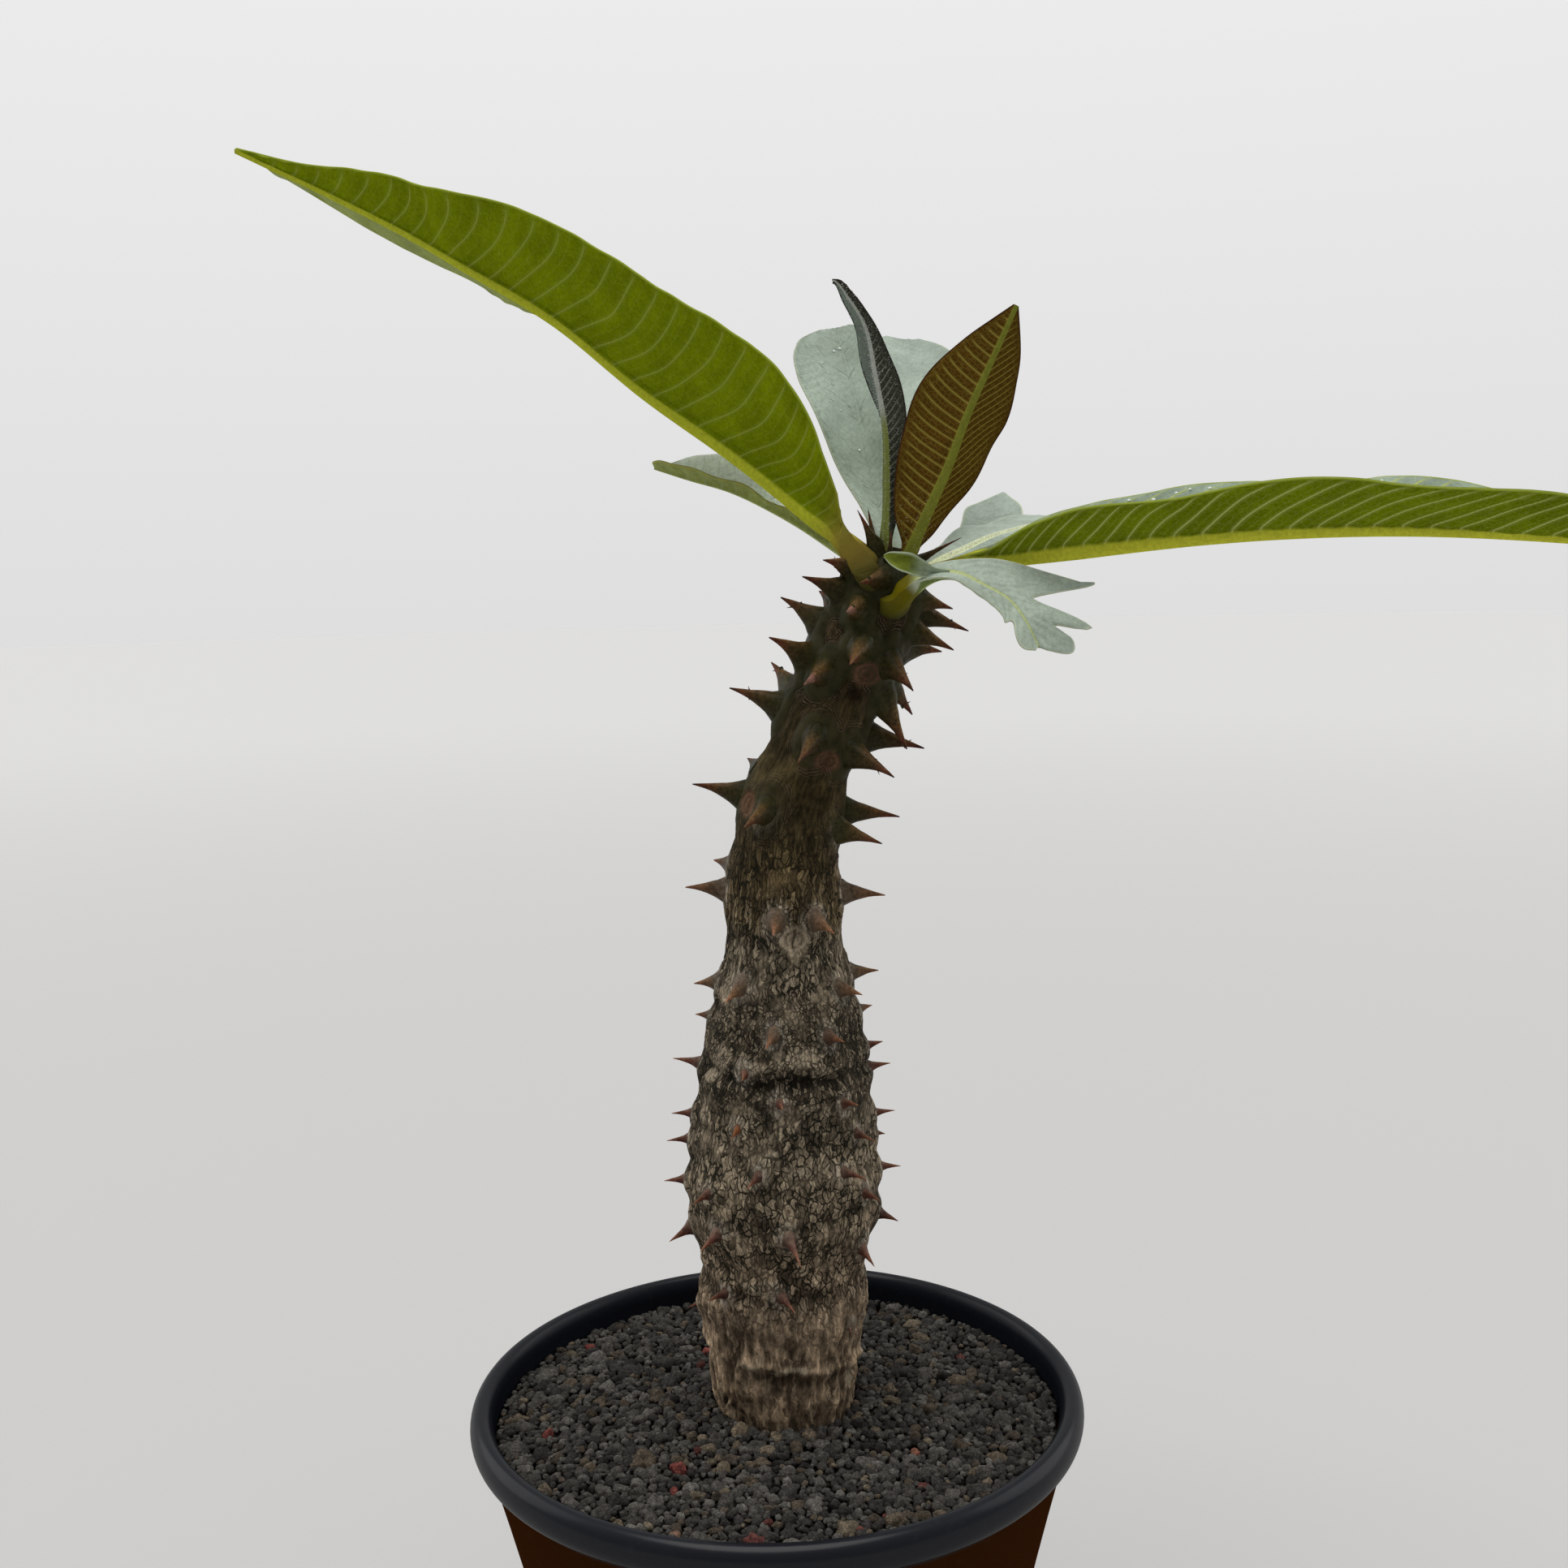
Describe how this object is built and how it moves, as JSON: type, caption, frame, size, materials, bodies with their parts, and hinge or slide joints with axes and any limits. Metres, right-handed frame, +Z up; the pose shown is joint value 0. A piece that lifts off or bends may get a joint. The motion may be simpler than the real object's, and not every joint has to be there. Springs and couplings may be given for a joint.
{
  "type": "potted pachypodium baronii",
  "caption": "Potted Pachypodium baronii: a swollen spined grey-brown stem in lava gravel, leaning at the top to a crown of long leaves, in a round black pot with a rolled rim.",
  "frame": {"origin": "centre of the pot's flat underside", "axes": "+Z up along the pot's axis; the plant's front, as pictured, looks along -Y; +X to the viewer's right"},
  "size_m": [0.2772, 0.127, 0.3523],
  "materials": {
    "pot": "satin",
    "gravel": "matte",
    "bark": "matte",
    "leaf_green": "satin",
    "leaf_bronze": "matte",
    "leaf_dark": "matte",
    "leaf_grey": "satin"
  },
  "bodies": {
    "root": {"pot": "pot", "soil": "gravel", "caudex": "bark", "leaf_long_left": "leaf_green", "leaf_long_right": "leaf_green", "leaf_bronze": "leaf_bronze", "leaf_folded_young": "leaf_dark", "leaf_back_left": "leaf_grey", "leaf_back": "leaf_grey", "leaf_damaged_left": "leaf_grey", "leaf_right_back": "leaf_grey", "leaf_far_back": "leaf_grey", "leaf_torn_front": "leaf_grey"}
  },
  "joints": []
}
